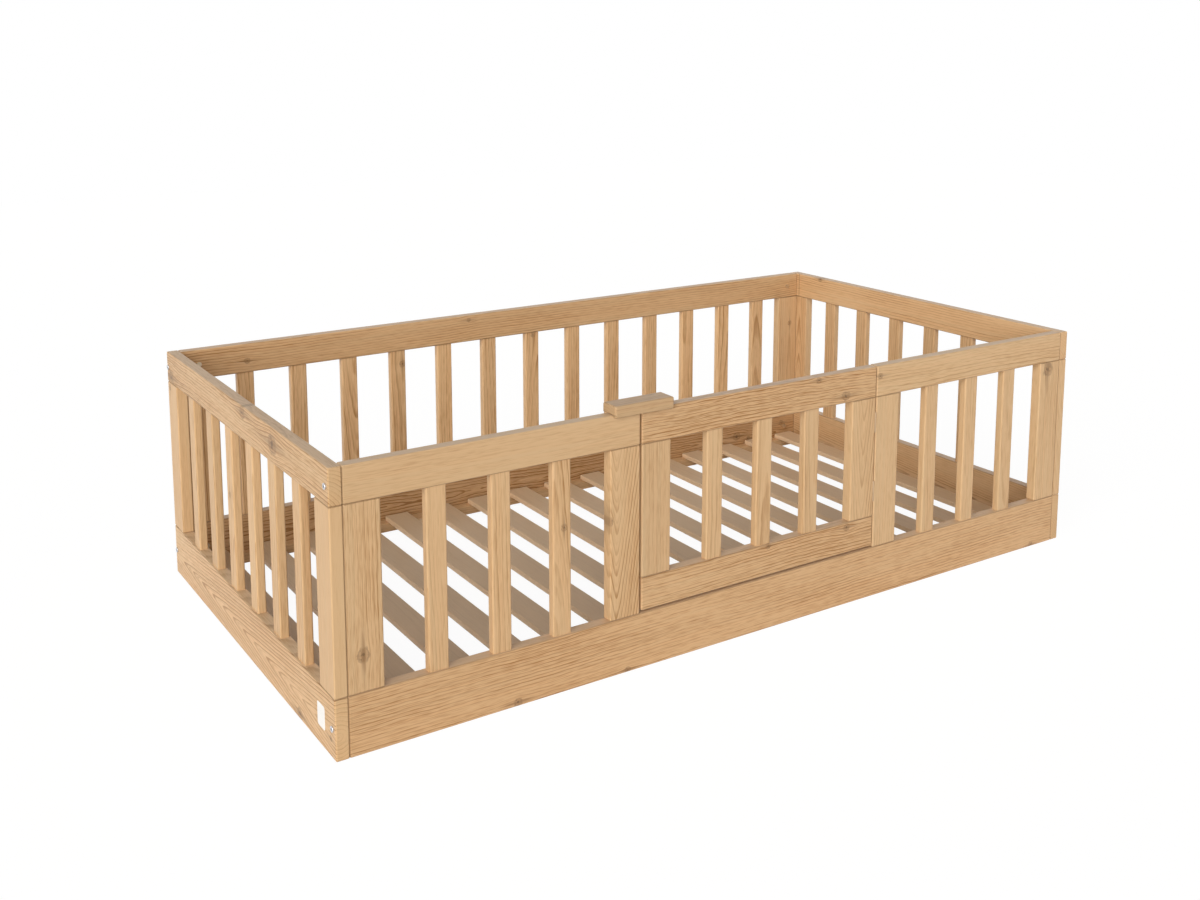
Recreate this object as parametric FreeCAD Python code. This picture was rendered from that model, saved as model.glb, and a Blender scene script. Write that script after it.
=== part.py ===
"""Toddler floor bed with a swinging gate, in millimetres, +Z up, standing on the floor at z = 0.

X runs along the bed, Y from the gate side (front) to the back. The origin is under the middle of the
bed's bounding box. Two end panels stand outside the long panels and are bolted to them at the corners.
Every panel is a rail, a board and two stiles, with spindles between them; the front panel is cut into a
fixed section, a gate and a second fixed section above one long board.
"""
import FreeCAD
import Part
import os

from FreeCAD import Placement, Rotation, Vector

os.makedirs("parts", exist_ok=True)

# --- driving dimensions -------------------------------------------------------------------------
# the mattress that the bed is made for, and the play all round it
MATTRESS_LENGTH = 1600.0
MATTRESS_WIDTH = 800.0
MATTRESS_PLAY = 8.0

# planed timber of the panels
TIMBER = 22.0                 # thickness of every rail, board and stile
RAIL_HEIGHT = 60.0            # top rails, and the gate's bottom rail
BOARD_HEIGHT = 100.0          # bottom boards
STILE_WIDTH = 60.0
STILE_HEIGHT = 301.0
EDGE_EASE = 2.5               # rounded edge of the panel timber

# spindles between the stiles
SPINDLE_WIDTH = 35.0
SPINDLE_THICKNESS = 16.0
SPINDLE_EASE = 3.0
SPINDLE_PITCH = 113.0
SPINDLE_END_GAP = 45.0        # least gap between a stile and the nearest spindle
TENON_WIDTH = 25.0
TENON_THICKNESS = 8.0
TENON_LENGTH = 10.0
JOINT_SLACK = 0.1             # glue clearance round tenons, dowels and pegs

# dowels between stiles and rails
DOWEL_DIAMETER = 8.0
DOWEL_DEPTH = 20.0            # into each of the two pieces
DOWEL_SPACING = 30.0

# gate in the front panel
GATE_WIDTH = 543.0
GATE_SHIFT = -1.2             # gate's middle from the bed's middle
LATCH_GAP = 4.0               # joint at the gate's free end
HINGE_GAP = 2.4               # joint at the gate's hinged end
SILL_GAP = 4.0                # under the gate

# butt hinges in the hinge joint, their knuckles in the groove between the eased edges
HINGE_LENGTH = 40.0
HINGE_FROM_STILE_END = 50.0   # hinge middle from the end of the gate's stile
LEAF_THICKNESS = 1.0
LEAF_DEPTH = 16.0
KNUCKLE_DIAMETER = 4.0
KNUCKLE_INSET = 1.5           # knuckle axis behind the front face
KNUCKLE_SLACK = 0.15          # between a knuckle and the other leaf's knuckles
PIN_DIAMETER = 2.0
PIN_SLACK = 0.05
KNUCKLE_RECESS = 0.4          # groove cut in the stiles, round the knuckles
HINGE_SCREW_DIAMETER = 3.0
HINGE_SCREW_HEAD = 5.0
HINGE_SCREW_LENGTH = 16.0
HINGE_SCREW_PITCH = 13.0

# sliding latch block over the gate's free end
LATCH_LENGTH = 120.0
LATCH_DEPTH = 40.0
LATCH_COVER = 56.0            # length that lies over the fixed rail
LATCH_ABOVE_RAIL = 16.5
LATCH_LIP = 4.5               # lips reach down past the rail's top face
LATCH_EASE = 3.5
LATCH_SIDE_GAP = 0.5          # channel clearance each side of the rail
LATCH_RIDE_GAP = 0.8          # channel clearance over the rail
LATCH_CLEAR = 2.0             # block to joint when the latch is drawn back
LATCH_PIN_DIAMETER = 6.0
LATCH_PIN_RISE = 7.0
LATCH_PIN_DEPTH = 20.0
LATCH_PIN_FROM_EDGE = 30.0    # pin from the gate's free edge
LATCH_SLOT_GAP = 0.3          # slot clearance round the pin

# slatted base
DECK_HEIGHT = 35.0            # top of the slats over the floor
SLAT_WIDTH = 53.0
SLAT_THICKNESS = 11.0
SLAT_PITCH = 101.6
SLAT_EASE = 2.0
SLAT_TO_BOARD = 5.0           # slat ends from the long boards
SLAT_TO_END = 15.0            # least gap between the last slat and the end board
LEDGER_HEIGHT = 20.0
LEDGER_DEPTH = 22.0
LEDGER_EASE = 1.5
LEDGER_TO_END = 10.0
PEG_DIAMETER = 6.0
PEG_IN_SLAT = 7.0
PEG_IN_LEDGER = 9.0
PEG_INSET = 14.0              # peg from the long board
LEDGER_SCREW_DIAMETER = 4.0
LEDGER_SCREW_HEAD = 8.0
LEDGER_SCREW_LENGTH = 34.0
LEDGER_SCREW_HEAD_DEPTH = 2.4
GAPS_PER_LEDGER_SCREW = 2     # one screw in every second gap between slats

# corner bolts and the cross dowel nuts that they screw into
BOLT_DIAMETER = 6.0
BOLT_LENGTH = 60.0
BOLT_HOLE_SLACK = 0.2
BOLT_HEAD_DIAMETER = 10.5
BOLT_HEAD_HEIGHT = 2.6
BOLT_HEAD_EASE = 0.9
BOLT_SOCKET = 4.0             # across the flats
BOLT_SOCKET_DEPTH = 2.0
NUT_DIAMETER = 10.0
NUT_LENGTH = 18.0
NUT_PROUD = 2.5
NUT_FROM_END = 35.0           # nut's axis from the end of the long rail
NUT_THREAD_SLACK = 0.05

# --- sizes that follow from them ----------------------------------------------------------------
INNER_LENGTH = MATTRESS_LENGTH + 2 * MATTRESS_PLAY
INNER_WIDTH = MATTRESS_WIDTH + 2 * MATTRESS_PLAY
LENGTH = INNER_LENGTH + 2 * TIMBER
WIDTH = INNER_WIDTH + 2 * TIMBER
RAIL_UNDERSIDE = BOARD_HEIGHT + STILE_HEIGHT
HEIGHT = RAIL_UNDERSIDE + RAIL_HEIGHT
RAIL_MIDDLE = RAIL_UNDERSIDE + RAIL_HEIGHT / 2
BOARD_MIDDLE = BOARD_HEIGHT / 2

LATCH_OVERHANG = (LATCH_DEPTH - TIMBER) / 2
FRONT_Y = -(WIDTH - LATCH_OVERHANG) / 2        # outer face of the front panel
BACK_Y = FRONT_Y + WIDTH                       # outer face of the back panel
INNER_FRONT_Y = FRONT_Y + TIMBER
INNER_BACK_Y = BACK_Y - TIMBER
INNER_LEFT_X = -INNER_LENGTH / 2

SECTION = (INNER_LENGTH - GATE_WIDTH - LATCH_GAP - HINGE_GAP) / 2
LEFT_SECTION_END = SECTION + GATE_SHIFT        # along the front panel, from the left end panel
GATE_START = LEFT_SECTION_END + LATCH_GAP
GATE_END = GATE_START + GATE_WIDTH
RIGHT_SECTION_START = GATE_END + HINGE_GAP
GATE_UNDERSIDE = BOARD_HEIGHT + SILL_GAP
GATE_RAIL_TOP = GATE_UNDERSIDE + RAIL_HEIGHT

HINGE_AXIS_X = INNER_LEFT_X + GATE_END + HINGE_GAP / 2
HINGE_AXIS_Y = FRONT_Y + KNUCKLE_INSET
HINGE_MIDDLES = {
    "lower": GATE_RAIL_TOP + HINGE_FROM_STILE_END,
    "upper": RAIL_UNDERSIDE - HINGE_FROM_STILE_END,
}

LATCH_LEFT_X = INNER_LEFT_X + LEFT_SECTION_END - LATCH_COVER
LATCH_TRAVEL = LATCH_COVER + LATCH_GAP + LATCH_CLEAR
LATCH_PIN_X = INNER_LEFT_X + GATE_START + LATCH_PIN_FROM_EDGE

SLAT_BOTTOM = DECK_HEIGHT - SLAT_THICKNESS
LEDGER_BOTTOM = SLAT_BOTTOM - LEDGER_HEIGHT
SLAT_COUNT = int((INNER_LENGTH - SLAT_WIDTH - 2 * SLAT_TO_END) // SLAT_PITCH) + 1
FIRST_SLAT_X = -(SLAT_COUNT - 1) * SLAT_PITCH / 2


# --- small builders -----------------------------------------------------------------------------
def block(x, y, z):
    """A box between pairs of (low, high) bounds."""
    corner = Vector(x[0], y[0], z[0])
    return Part.makeBox(x[1] - x[0], y[1] - y[0], z[1] - z[0], corner)


def eased_block(x, y, z, ease):
    """A box with all of its edges rounded, as planed timber has them."""
    timber = block(x, y, z)
    return timber.makeFillet(ease, timber.Edges)


def rod(diameter, start, direction, length):
    """A round bar from a start point along a direction."""
    return Part.makeCylinder(diameter / 2, length, Vector(*start), Vector(*direction))


def countersunk_screw(start, direction, head, shank, head_depth, length):
    """A screw whose flat head lies in the plane of its start point."""
    axis = Vector(*direction)
    cone = Part.makeCone(head / 2, shank / 2, head_depth, Vector(*start), axis)
    stem = rod(shank, start, direction, length)
    return cone.fuse(stem).removeSplitter()


def cut_all(shape, tools):
    """The shape less every tool."""
    return shape.cut(tools) if tools else shape


def group(shapes):
    """Several separate solids as one node."""
    return Part.makeCompound(shapes)


# --- what fills a panel between its lower and its upper member -------------------------------------
def dowel_places(start, end):
    """Dowel positions along a panel for the stiles at both ends of a span."""
    places = []
    for middle in (start + STILE_WIDTH / 2, end - STILE_WIDTH / 2):
        places += [middle - DOWEL_SPACING / 2, middle + DOWEL_SPACING / 2]
    return places


def dowel(along, face_z, slack=0.0):
    """An upright dowel across the joint at face_z, or its hole when slack is given."""
    start = (along, TIMBER / 2, face_z - DOWEL_DEPTH)
    return rod(DOWEL_DIAMETER + 2 * slack, start, (0, 0, 1), 2 * DOWEL_DEPTH)


def spindle_places(start, end):
    """Left edges of the evenly pitched spindles, centred between the stiles of a span."""
    clear = end - start - 2 * STILE_WIDTH
    room = clear - SPINDLE_WIDTH - 2 * SPINDLE_END_GAP
    count = max(1, int(room // SPINDLE_PITCH) + 1)
    run = (count - 1) * SPINDLE_PITCH + SPINDLE_WIDTH
    first = (start + end - run) / 2
    return [first + number * SPINDLE_PITCH for number in range(count)]


def spindle_tenons(left, low, high, slack=0.0):
    """The stub of a spindle that reaches from low to high into a rail, or its mortise."""
    middle = left + SPINDLE_WIDTH / 2
    half_width = TENON_WIDTH / 2 + slack
    half_thickness = TENON_THICKNESS / 2 + slack
    return block((middle - half_width, middle + half_width),
                 (TIMBER / 2 - half_thickness, TIMBER / 2 + half_thickness), (low, high))


def spindle(left, low, high):
    """An upright slat with its corners eased and a tenon at each end."""
    body = block((left, left + SPINDLE_WIDTH),
                 ((TIMBER - SPINDLE_THICKNESS) / 2, (TIMBER + SPINDLE_THICKNESS) / 2), (low, high))
    upright_edges = [edge for edge in body.Edges if edge.BoundBox.ZLength > edge.BoundBox.XLength
                     + edge.BoundBox.YLength]
    body = body.makeFillet(SPINDLE_EASE, upright_edges)
    stub = spindle_tenons(left, low - TENON_LENGTH, high + TENON_LENGTH)
    return body.fuse(stub).removeSplitter()


def infill(start, end, low, high):
    """Stiles, spindles and dowels of a span, with what they cut out of its lower and upper member."""
    joint_dowels = []
    stile_holes = []
    for face_z in (low, high):
        for along in dowel_places(start, end):
            joint_dowels.append(dowel(along, face_z))
            stile_holes.append(dowel(along, face_z, JOINT_SLACK))
    stiles = []
    for left in (start, end - STILE_WIDTH):
        stile = eased_block((left, left + STILE_WIDTH), (0, TIMBER), (low, high), EDGE_EASE)
        stiles.append(cut_all(stile, stile_holes))
    lefts = spindle_places(start, end)
    mortises = [spindle_tenons(left, low - TENON_LENGTH, high + TENON_LENGTH, JOINT_SLACK)
                for left in lefts]
    return {
        "stiles": stiles,
        "spindles": [spindle(left, low, high) for left in lefts],
        "dowels": joint_dowels,
        "member_cuts": stile_holes + mortises,
    }


def member(start, end, low, high, cuts):
    """A rail or board of a panel, with its dowel holes and mortises."""
    timber = eased_block((start, end), (0, TIMBER), (low, high), EDGE_EASE)
    return cut_all(timber, cuts)


# --- fasteners at the corners ---------------------------------------------------------------------
def corner_fasteners():
    """Bolt and cross dowel at the top and bottom of each corner, with the tools that cut their holes.

    The result is keyed by (end, side, level), where end is left or right, side is front or back and
    level is rail or board.
    """
    fasteners = {}
    for end, outward in (("left", -1), ("right", 1)):
        for side, inner_y, into_panel in (("front", INNER_FRONT_Y, -1), ("back", INNER_BACK_Y, 1)):
            for level, bolt_z in (("rail", RAIL_MIDDLE), ("board", BOARD_MIDDLE)):
                bolt_y = inner_y + into_panel * TIMBER / 2
                outer_x = outward * LENGTH / 2
                nut_x = outward * (INNER_LENGTH / 2 - NUT_FROM_END)
                nut_start = (nut_x, inner_y - into_panel * NUT_PROUD, bolt_z)
                nut_depth = (0, into_panel, 0)
                fasteners[end, side, level] = {
                    "bolt": socket_bolt((outer_x, bolt_y, bolt_z), outward),
                    "nut": cross_dowel(nut_start, nut_depth, (outer_x, bolt_y, bolt_z), outward),
                    "bolt_hole": rod(BOLT_DIAMETER + 2 * BOLT_HOLE_SLACK, (outer_x, bolt_y, bolt_z),
                                     (-outward, 0, 0), BOLT_LENGTH),
                    "nut_hole": rod(NUT_DIAMETER + 2 * JOINT_SLACK, nut_start, nut_depth, NUT_LENGTH),
                }
    return fasteners


def socket_bolt(seat, outward):
    """Round-headed bolt with a hexagon socket; its head lies on the end panel's outer face."""
    head = rod(BOLT_HEAD_DIAMETER, seat, (outward, 0, 0), BOLT_HEAD_HEIGHT)
    outer_x = seat[0] + outward * BOLT_HEAD_HEIGHT
    rim = [edge for edge in head.Edges if abs(edge.BoundBox.Center.x - outer_x) < BOLT_HEAD_EASE
           and edge.BoundBox.XLength < BOLT_HEAD_EASE]
    head = head.makeFillet(BOLT_HEAD_EASE, rim)
    shank = rod(BOLT_DIAMETER, seat, (-outward, 0, 0), BOLT_LENGTH)
    corner_radius = BOLT_SOCKET / 3 ** 0.5
    hexagon = Part.makePolygon([
        Vector(outer_x, seat[1], seat[2])
        + Rotation(Vector(1, 0, 0), 60 * turn).multVec(Vector(0, corner_radius, 0))
        for turn in range(7)
    ])
    socket = Part.Face(hexagon).extrude(Vector(-outward * BOLT_SOCKET_DEPTH, 0, 0))
    return head.fuse(shank).cut(socket).removeSplitter()


def cross_dowel(start, direction, bolt_seat, outward):
    """Round nut across the rail, with the bolt's hole through it."""
    body = rod(NUT_DIAMETER, start, direction, NUT_LENGTH)
    thread = rod(BOLT_DIAMETER + 2 * NUT_THREAD_SLACK, bolt_seat, (-outward, 0, 0),
                 BOLT_LENGTH + NUT_DIAMETER)
    return body.cut(thread)


FASTENERS = corner_fasteners()


def bolt_cuts(*places):
    """Bolt and nut holes for the given (end, side, level) corners."""
    return [FASTENERS[place][hole] for place in places for hole in ("bolt_hole", "nut_hole")]


# --- the panels -----------------------------------------------------------------------------------
def place_along_x(shape, y):
    """Stand a panel piece along X, its thickness from y towards the back."""
    placed = shape.copy()
    placed.Placement = Placement(Vector(INNER_LEFT_X, y, 0), Rotation())
    return placed


def place_along_y(shape, x):
    """Stand a panel piece along Y from the front face, its thickness from x towards -X."""
    placed = shape.copy()
    placed.Placement = Placement(Vector(x, FRONT_Y, 0), Rotation(Vector(0, 0, 1), 90))
    return placed


def end_panel(nodes, end, x):
    """One end panel: it reaches over the ends of the long panels, which are bolted to it."""
    fill = infill(0, WIDTH, BOARD_HEIGHT, RAIL_UNDERSIDE)
    rail = member(0, WIDTH, RAIL_UNDERSIDE, HEIGHT, fill["member_cuts"])
    board = member(0, WIDTH, 0, BOARD_HEIGHT, fill["member_cuts"])
    for level, shape in (("rail", rail), ("board", board)):
        placed = place_along_y(shape, x)
        cuts = bolt_cuts((end, "front", level), (end, "back", level))
        name = f"{end}_end_top_rail" if level == "rail" else f"{end}_end_bottom_board"
        nodes[name] = cut_all(placed, cuts)
    for side, stile in zip(("front", "back"), fill["stiles"]):
        nodes[f"{end}_end_{side}_stile"] = place_along_y(stile, x)
    nodes[f"{end}_end_spindles"] = group([place_along_y(piece, x) for piece in fill["spindles"]])
    return [place_along_y(piece, x) for piece in fill["dowels"]]


def back_panel(nodes):
    """The back panel, in one length between the end panels."""
    fill = infill(0, INNER_LENGTH, BOARD_HEIGHT, RAIL_UNDERSIDE)
    rail = member(0, INNER_LENGTH, RAIL_UNDERSIDE, HEIGHT, fill["member_cuts"])
    board = member(0, INNER_LENGTH, 0, BOARD_HEIGHT, fill["member_cuts"])
    nodes["back_top_rail"] = cut_all(place_along_x(rail, INNER_BACK_Y),
                                     bolt_cuts(("left", "back", "rail"), ("right", "back", "rail")))
    nodes["back_bottom_board"] = cut_all(place_along_x(board, INNER_BACK_Y),
                                         bolt_cuts(("left", "back", "board"), ("right", "back", "board"))
                                         + ledger_screw_holes("back"))
    for end, stile in zip(("left", "right"), fill["stiles"]):
        nodes[f"back_{end}_stile"] = place_along_x(stile, INNER_BACK_Y)
    nodes["back_spindles"] = group([place_along_x(piece, INNER_BACK_Y) for piece in fill["spindles"]])
    return [place_along_x(piece, INNER_BACK_Y) for piece in fill["dowels"]]


def front_panel(nodes):
    """The front's long board and the fixed sections each side of the gate."""
    spans = {"left": (0, LEFT_SECTION_END), "right": (RIGHT_SECTION_START, INNER_LENGTH)}
    board_cuts = []
    fixed_dowels = []
    for end, (start, stop) in spans.items():
        fill = infill(start, stop, BOARD_HEIGHT, RAIL_UNDERSIDE)
        board_cuts += fill["member_cuts"]
        rail = place_along_x(member(start, stop, RAIL_UNDERSIDE, HEIGHT, fill["member_cuts"]), FRONT_Y)
        nodes[f"front_{end}_top_rail"] = cut_all(rail, bolt_cuts((end, "front", "rail")))
        outer, inner = fill["stiles"] if end == "left" else fill["stiles"][::-1]
        nodes[f"front_{end}_corner_stile"] = place_along_x(outer, FRONT_Y)
        nodes[f"front_{end}_gate_stile"] = place_along_x(inner, FRONT_Y)
        nodes[f"front_{end}_spindles"] = group([place_along_x(piece, FRONT_Y)
                                                for piece in fill["spindles"]])
        fixed_dowels += [place_along_x(piece, FRONT_Y) for piece in fill["dowels"]]
    hung_stile = nodes["front_right_gate_stile"]
    nodes["front_right_gate_stile"] = cut_all(hung_stile, hinge_cuts("fixed"))
    board = place_along_x(member(0, INNER_LENGTH, 0, BOARD_HEIGHT, board_cuts), FRONT_Y)
    nodes["front_bottom_board"] = cut_all(board, bolt_cuts(("left", "front", "board"),
                                                           ("right", "front", "board"))
                                          + ledger_screw_holes("front"))
    return fixed_dowels


def gate(nodes):
    """The gate: its own two rails, two stiles and spindles, hung at its right-hand end."""
    fill = infill(GATE_START, GATE_END, GATE_RAIL_TOP, RAIL_UNDERSIDE)
    top = place_along_x(member(GATE_START, GATE_END, RAIL_UNDERSIDE, HEIGHT, fill["member_cuts"]),
                        FRONT_Y)
    nodes["gate_top_rail"] = top.cut(latch_pin(JOINT_SLACK))
    nodes["gate_bottom_rail"] = place_along_x(
        member(GATE_START, GATE_END, GATE_UNDERSIDE, GATE_RAIL_TOP, fill["member_cuts"]), FRONT_Y)
    latch_stile, hinge_stile = fill["stiles"]
    nodes["gate_latch_stile"] = place_along_x(latch_stile, FRONT_Y)
    nodes["gate_hinge_stile"] = cut_all(place_along_x(hinge_stile, FRONT_Y), hinge_cuts("gate"))
    nodes["gate_spindles"] = group([place_along_x(piece, FRONT_Y) for piece in fill["spindles"]])
    nodes["gate_dowels"] = group([place_along_x(piece, FRONT_Y) for piece in fill["dowels"]])


# --- hinges ---------------------------------------------------------------------------------------
def knuckle_rod(diameter, low, high):
    """A round bar on the hinge axis between two heights."""
    return rod(diameter, (HINGE_AXIS_X, HINGE_AXIS_Y, low), (0, 0, 1), high - low)


def knuckle_spans(middle, leaf):
    """Heights of a leaf's knuckles: the fixed leaf has the outer two, the gate's leaf the middle one."""
    third = HINGE_LENGTH / 3
    low = middle - HINGE_LENGTH / 2
    if leaf == "gate":
        return [(low + third + KNUCKLE_SLACK, low + 2 * third - KNUCKLE_SLACK)]
    return [(low, low + third), (low + 2 * third, low + HINGE_LENGTH)]


def leaf_side(leaf):
    """-1 for the gate's side of the hinge joint, 1 for the fixed side."""
    return -1 if leaf == "gate" else 1


def hinge_leaf(middle, leaf):
    """A flat plate against its stile, rolled into knuckles round the pin."""
    side = leaf_side(leaf)
    stile_x = HINGE_AXIS_X + side * HINGE_GAP / 2
    faces = sorted((stile_x, stile_x - side * LEAF_THICKNESS))
    low = middle - HINGE_LENGTH / 2
    plate = block(faces, (HINGE_AXIS_Y, HINGE_AXIS_Y + LEAF_DEPTH), (low, low + HINGE_LENGTH))
    other = "fixed" if leaf == "gate" else "gate"
    room = KNUCKLE_DIAMETER + 2 * KNUCKLE_SLACK
    for start, stop in knuckle_spans(middle, other):
        plate = plate.cut(knuckle_rod(room, start - KNUCKLE_SLACK, stop + KNUCKLE_SLACK))
    knuckles = [knuckle_rod(KNUCKLE_DIAMETER, *span) for span in knuckle_spans(middle, leaf)]
    rolled = plate.fuse(knuckles).cut(knuckle_rod(PIN_DIAMETER + 2 * PIN_SLACK, low, low + HINGE_LENGTH))
    screws = [hinge_screw(place, leaf, JOINT_SLACK) for place in hinge_screw_places(middle)]
    return cut_all(rolled.removeSplitter(), screws)


def hinge_screw_places(middle):
    """Heights of a leaf's three screws."""
    return [middle + step * HINGE_SCREW_PITCH for step in (-1, 0, 1)]


def hinge_screw(height, leaf, slack=0.0):
    """A countersunk screw through a leaf into its stile, or its hole when slack is given."""
    side = leaf_side(leaf)
    head_x = HINGE_AXIS_X + side * (HINGE_GAP / 2 - LEAF_THICKNESS)
    start = (head_x, HINGE_AXIS_Y + LEAF_DEPTH / 2, height)
    return countersunk_screw(start, (side, 0, 0), HINGE_SCREW_HEAD + 2 * slack,
                             HINGE_SCREW_DIAMETER + 2 * slack, LEAF_THICKNESS,
                             HINGE_SCREW_LENGTH + slack)


def hinge_cuts(leaf):
    """Recesses for the knuckles and holes for the screws in the stile that carries a leaf."""
    cuts = []
    for middle in HINGE_MIDDLES.values():
        low = middle - HINGE_LENGTH / 2 - KNUCKLE_RECESS
        cuts.append(knuckle_rod(KNUCKLE_DIAMETER + 2 * KNUCKLE_RECESS, low,
                                low + HINGE_LENGTH + 2 * KNUCKLE_RECESS))
        cuts += [hinge_screw(place, leaf, JOINT_SLACK) for place in hinge_screw_places(middle)]
    return cuts


def hinges(nodes):
    """Both hinges: leaves and screws of each side, and the pins that the fixed leaves hold."""
    for leaf in ("fixed", "gate"):
        nodes[f"{leaf}_hinge_leaves"] = group([hinge_leaf(middle, leaf)
                                               for middle in HINGE_MIDDLES.values()])
        nodes[f"{leaf}_hinge_screws"] = group([hinge_screw(place, leaf)
                                               for middle in HINGE_MIDDLES.values()
                                               for place in hinge_screw_places(middle)])
    nodes["hinge_pins"] = group([knuckle_rod(PIN_DIAMETER, middle - HINGE_LENGTH / 2,
                                             middle + HINGE_LENGTH / 2)
                                 for middle in HINGE_MIDDLES.values()])


# --- latch ----------------------------------------------------------------------------------------
def latch_pin(slack=0.0):
    """The peg in the gate's top rail that keeps the latch on, or its hole when slack is given."""
    start = (LATCH_PIN_X, FRONT_Y + TIMBER / 2, HEIGHT - LATCH_PIN_DEPTH)
    return rod(LATCH_PIN_DIAMETER + 2 * slack, start, (0, 0, 1), LATCH_PIN_DEPTH + LATCH_PIN_RISE)


def latch_block():
    """A block with a channel for the rails and a blind slot for the peg.

    The front lip runs its whole length. The back lip is only over the gate, so that the block
    leaves the fixed rail when the gate swings out.
    """
    ends = (LATCH_LEFT_X, LATCH_LEFT_X + LATCH_LENGTH)
    sides = (FRONT_Y - LATCH_OVERHANG, FRONT_Y + TIMBER + LATCH_OVERHANG)
    body = eased_block(ends, sides, (HEIGHT - LATCH_LIP, HEIGHT + LATCH_ABOVE_RAIL), LATCH_EASE)
    ceiling = HEIGHT + LATCH_RIDE_GAP
    under = (HEIGHT - 2 * LATCH_LIP, ceiling)
    channel_sides = (FRONT_Y - LATCH_SIDE_GAP, FRONT_Y + TIMBER + LATCH_SIDE_GAP)
    beyond = (ends[0] - LATCH_LENGTH, ends[1] + LATCH_LENGTH)
    channel = block(beyond, channel_sides, under)
    lip_end = INNER_LEFT_X + GATE_START + LATCH_SIDE_GAP
    back_lip_relief = block((beyond[0], lip_end), (channel_sides[0], sides[1] + LATCH_OVERHANG), under)
    return body.cut([channel, back_lip_relief, latch_slot(ceiling)]).removeSplitter()


def latch_slot(ceiling):
    """The blind slot that the peg runs in, as long as the latch travels."""
    radius = LATCH_PIN_DIAMETER / 2 + LATCH_SLOT_GAP
    middle_y = FRONT_Y + TIMBER / 2
    low = ceiling - LATCH_RIDE_GAP
    high = HEIGHT + LATCH_PIN_RISE + LATCH_RIDE_GAP
    far_end = LATCH_PIN_X - LATCH_TRAVEL
    slot = block((far_end, LATCH_PIN_X), (middle_y - radius, middle_y + radius), (low, high))
    rounds = [rod(2 * radius, (x, middle_y, low), (0, 0, 1), high - low)
              for x in (far_end, LATCH_PIN_X)]
    return slot.fuse(rounds).removeSplitter()


# --- slatted base ---------------------------------------------------------------------------------
def ledger_side(side):
    """Inner face of a long board, and the way from it into the bed."""
    return (INNER_FRONT_Y, 1) if side == "front" else (INNER_BACK_Y, -1)


def slat_middles():
    """Where the slats lie along the bed."""
    return [FIRST_SLAT_X + number * SLAT_PITCH for number in range(SLAT_COUNT)]


def peg(x, side, slack=0.0):
    """The peg between a slat and a ledger, or its hole when slack is given."""
    inner_y, inward = ledger_side(side)
    start = (x, inner_y + inward * PEG_INSET, SLAT_BOTTOM - PEG_IN_LEDGER)
    return rod(PEG_DIAMETER + 2 * slack, start, (0, 0, 1), PEG_IN_LEDGER + PEG_IN_SLAT + slack)


def slat(x):
    """One slat across the bed, with a peg hole over each ledger."""
    timber = eased_block((x - SLAT_WIDTH / 2, x + SLAT_WIDTH / 2),
                         (INNER_FRONT_Y + SLAT_TO_BOARD, INNER_BACK_Y - SLAT_TO_BOARD),
                         (SLAT_BOTTOM, DECK_HEIGHT), SLAT_EASE)
    return timber.cut([peg(x, side, JOINT_SLACK) for side in ("front", "back")])


def ledger_screw_middles():
    """Screws stand in the gaps between slats, clear of the pegs."""
    return [x + SLAT_PITCH / 2 for x in slat_middles()[:-1:GAPS_PER_LEDGER_SCREW]]


def ledger_screw(x, side, slack=0.0):
    """A countersunk screw through the ledger into the long board, or its hole when slack is given."""
    inner_y, inward = ledger_side(side)
    start = (x, inner_y + inward * LEDGER_DEPTH, LEDGER_BOTTOM + LEDGER_HEIGHT / 2)
    return countersunk_screw(start, (0, -inward, 0), LEDGER_SCREW_HEAD + 2 * slack,
                             LEDGER_SCREW_DIAMETER + 2 * slack, LEDGER_SCREW_HEAD_DEPTH,
                             LEDGER_SCREW_LENGTH + slack)


def ledger_screw_holes(side):
    """Screw holes of one ledger."""
    return [ledger_screw(x, side, JOINT_SLACK) for x in ledger_screw_middles()]


def ledger(side):
    """The batten along a long board that carries the slats."""
    inner_y, inward = ledger_side(side)
    half_length = INNER_LENGTH / 2 - LEDGER_TO_END
    timber = eased_block((-half_length, half_length), sorted((inner_y, inner_y + inward * LEDGER_DEPTH)),
                         (LEDGER_BOTTOM, SLAT_BOTTOM), LEDGER_EASE)
    pegs = [peg(x, side, JOINT_SLACK) for x in slat_middles()]
    return cut_all(timber, pegs + ledger_screw_holes(side))


def slatted_base(nodes):
    """Slats, ledgers, and what holds them."""
    for number, x in enumerate(slat_middles(), start=1):
        nodes[f"slat_{number:02d}"] = slat(x)
    for side in ("front", "back"):
        nodes[f"{side}_ledger"] = ledger(side)
    nodes["slat_pegs"] = group([peg(x, side) for side in ("front", "back") for x in slat_middles()])
    nodes["ledger_screws"] = group([ledger_screw(x, side) for side in ("front", "back")
                                    for x in ledger_screw_middles()])


# --- the whole bed --------------------------------------------------------------------------------
def bed():
    """Every node of the bed by name."""
    nodes = {}
    fixed_dowels = end_panel(nodes, "left", -INNER_LENGTH / 2)
    fixed_dowels += end_panel(nodes, "right", LENGTH / 2)
    fixed_dowels += back_panel(nodes)
    fixed_dowels += front_panel(nodes)
    nodes["frame_dowels"] = group(fixed_dowels)
    gate(nodes)
    hinges(nodes)
    nodes["latch_block"] = latch_block()
    nodes["latch_pin"] = latch_pin()
    slatted_base(nodes)
    nodes["corner_bolts"] = group([place["bolt"] for place in FASTENERS.values()])
    nodes["corner_nuts"] = group([place["nut"] for place in FASTENERS.values()])
    return nodes


for name, shape in bed().items():
    shape.exportStep(f"parts/{name}.step")
    print(f"{name}: {len(shape.Solids)} solid(s), {shape.Volume / 1000:.1f} cm3, valid {shape.isValid()}")

print(f"hinge axis at x {HINGE_AXIS_X:.2f}, y {HINGE_AXIS_Y:.2f}; latch travel {LATCH_TRAVEL:.1f}")
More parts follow.
